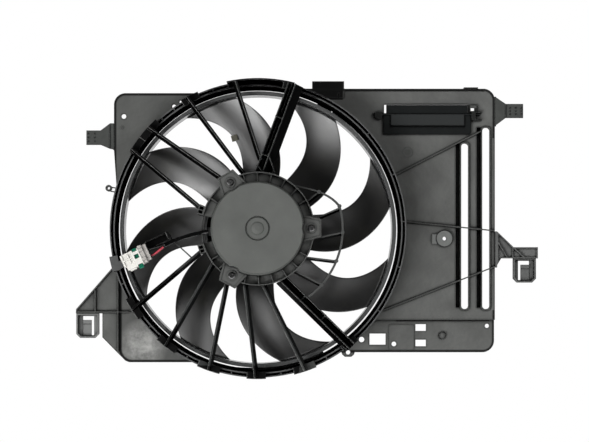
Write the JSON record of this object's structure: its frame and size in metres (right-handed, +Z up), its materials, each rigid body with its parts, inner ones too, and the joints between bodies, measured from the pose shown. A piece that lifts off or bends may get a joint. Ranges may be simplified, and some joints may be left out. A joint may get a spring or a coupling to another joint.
{
  "type": "radiator cooling fan with shroud",
  "caption": "Engine cooling fan: swept ring fan on a flat electric motor, carried by spokes in a moulded shroud with side panels, hinged air flap, mounting clips and lockable socket.",
  "frame": {"origin": "on the fan axis, in the face plane that lies against the radiator", "axes": "+Y along the fan axis towards the radiator, so the motor side faces -Y; +Z up; +X towards the wide side panel"},
  "size_m": [0.7038, 0.1014, 0.451],
  "materials": {
    "shroud_matte": "fine matte grain",
    "shroud_gloss": "smooth, semi gloss",
    "spoke_black": "smooth satin",
    "fan_grey": "satin",
    "fan_black": "semi gloss",
    "cap_paint": "satin grey paint",
    "screw_black": "black zinc",
    "can_steel": "plain",
    "magnet": "sintered",
    "phenolic": "moulded",
    "carbon": "pressed carbon",
    "spring_steel": "bright",
    "core_steel": "laminated steel",
    "copper": "enamelled copper",
    "shaft_steel": "ground",
    "bronze": "sintered bronze",
    "rubber": "matte",
    "clip_steel": "yellow zinc",
    "cream": "smooth",
    "lock_green": "smooth",
    "cap_grey": "smooth",
    "contact_tin": "tinned",
    "wire_red": "soft sheath",
    "wire_black": "soft sheath"
  },
  "bodies": {
    "shroud": {"barrel_ring": "shroud_gloss", "corner_panel_upper_left": "shroud_matte", "corner_panel_lower_left": "shroud_matte", "right_panel": "shroud_matte", "lower_left_clip": "shroud_matte", "upper_left_tongue": "shroud_matte", "upper_right_tongue": "shroud_matte", "right_bracket": "shroud_matte", "motor_carrier": "shroud_matte", "stator_spokes": "spoke_black", "upper_channel_arm": "spoke_black", "lower_channel_arm": "spoke_black", "guard_rib": "spoke_black", "round_plug": "spoke_black", "motor_screws": "screw_black", "motor_cap": "cap_paint", "motor_can": "can_steel", "magnets": "magnet", "brush_plate": "phenolic", "brushes": "carbon", "brush_springs": "spring_steel", "front_bearing": "bronze", "rear_bearing": "bronze", "lead_grommet": "rubber", "connector_bracket": "shroud_gloss", "connector_housing": "cream", "connector_cap": "cap_grey", "contacts": "contact_tin", "lead_tray": "spoke_black", "red_wire": "wire_red", "black_wire": "wire_black", "cable_sleeve": "wire_black"},
    "fan": {"fan_hub": "fan_black", "fan_blades": "fan_grey", "fan_ring": "fan_black", "shaft_nut": "shaft_steel", "balance_clip": "clip_steel", "shaft": "shaft_steel", "armature_core": "core_steel", "windings": "copper", "commutator": "copper"},
    "flap": {"air_flap": "spoke_black"},
    "lock": {"connector_lock": "lock_green"}
  },
  "joints": [
    {"name": "fan_spin", "type": "hinge", "parent": "shroud", "child": "fan", "pos_m": [0, 0, 0], "axis": [0, -1, 0], "continuous": true},
    {"name": "flap_swing", "type": "hinge", "parent": "shroud", "child": "flap", "pos_m": [0.2572, -0.0155, 0.1759], "axis": [-1, 0, 0], "range_deg": [0, 60]},
    {"name": "lock_slide", "type": "slide", "parent": "shroud", "child": "lock", "axis": [-0.4226, 0, 0.9063], "range_m": [0, 0.003]}
  ]
}
